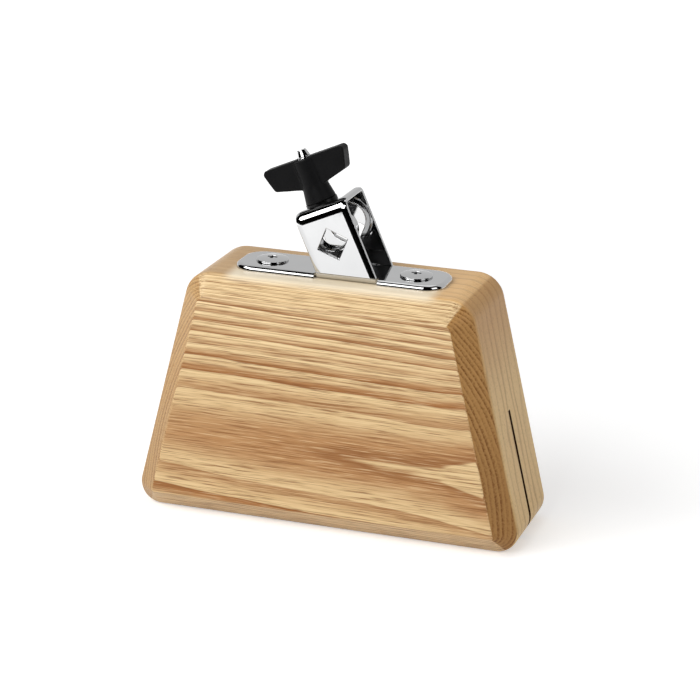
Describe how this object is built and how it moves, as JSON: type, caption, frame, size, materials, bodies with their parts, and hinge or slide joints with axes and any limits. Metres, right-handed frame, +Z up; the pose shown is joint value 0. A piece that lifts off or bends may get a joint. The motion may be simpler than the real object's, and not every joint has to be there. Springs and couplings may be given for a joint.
{
  "type": "wood block",
  "caption": "Slotted trapezoid wood block percussion instrument with a chromed rod-holder bracket on top, whose eyebolt is drawn up by a black wing nut",
  "frame": {"origin": "middle of the block's foot, on the plane that it stands on", "axes": "+X along the block to the right of the front face, +Y from the front face to the back, +Z up"},
  "size_m": [0.1728, 0.058, 0.1666],
  "materials": {
    "ash_wood": "satin lacquer over ash with a brown figure",
    "chrome_plate": "bright chrome on stamped steel",
    "screw_chrome": "bright chrome",
    "eyebolt_chrome": "bright chrome",
    "black_plastic": "satin black moulding",
    "insert_brass": "turned brass",
    "black_steel": "black plated steel"
  },
  "bodies": {
    "block": {"wood_block": "ash_wood", "holder_bracket": "chrome_plate", "left_screw": "screw_chrome", "right_screw": "screw_chrome", "wing_nut_washer": "black_steel"},
    "wing_nut": {"wing_nut_grip": "black_plastic", "wing_nut_insert": "insert_brass"},
    "eyebolt": {"eyebolt": "eyebolt_chrome"}
  },
  "joints": [
    {"name": "wing_nut_turn", "type": "hinge", "parent": "block", "child": "wing_nut", "pos_m": [-0.01017, -0.0015, 0.14116], "axis": [-0.4067, 0, 0.9135], "range_deg": [-72, 1800]},
    {"name": "eyebolt_slide", "type": "slide", "parent": "block", "child": "eyebolt", "axis": [-0.4067, 0, 0.9135], "range_m": [-0.005, 0.0002]}
  ],
  "couplings": [
    {"joint": "eyebolt_slide", "follows": "wing_nut_turn", "m_per_rad": -0.00015915}
  ]
}
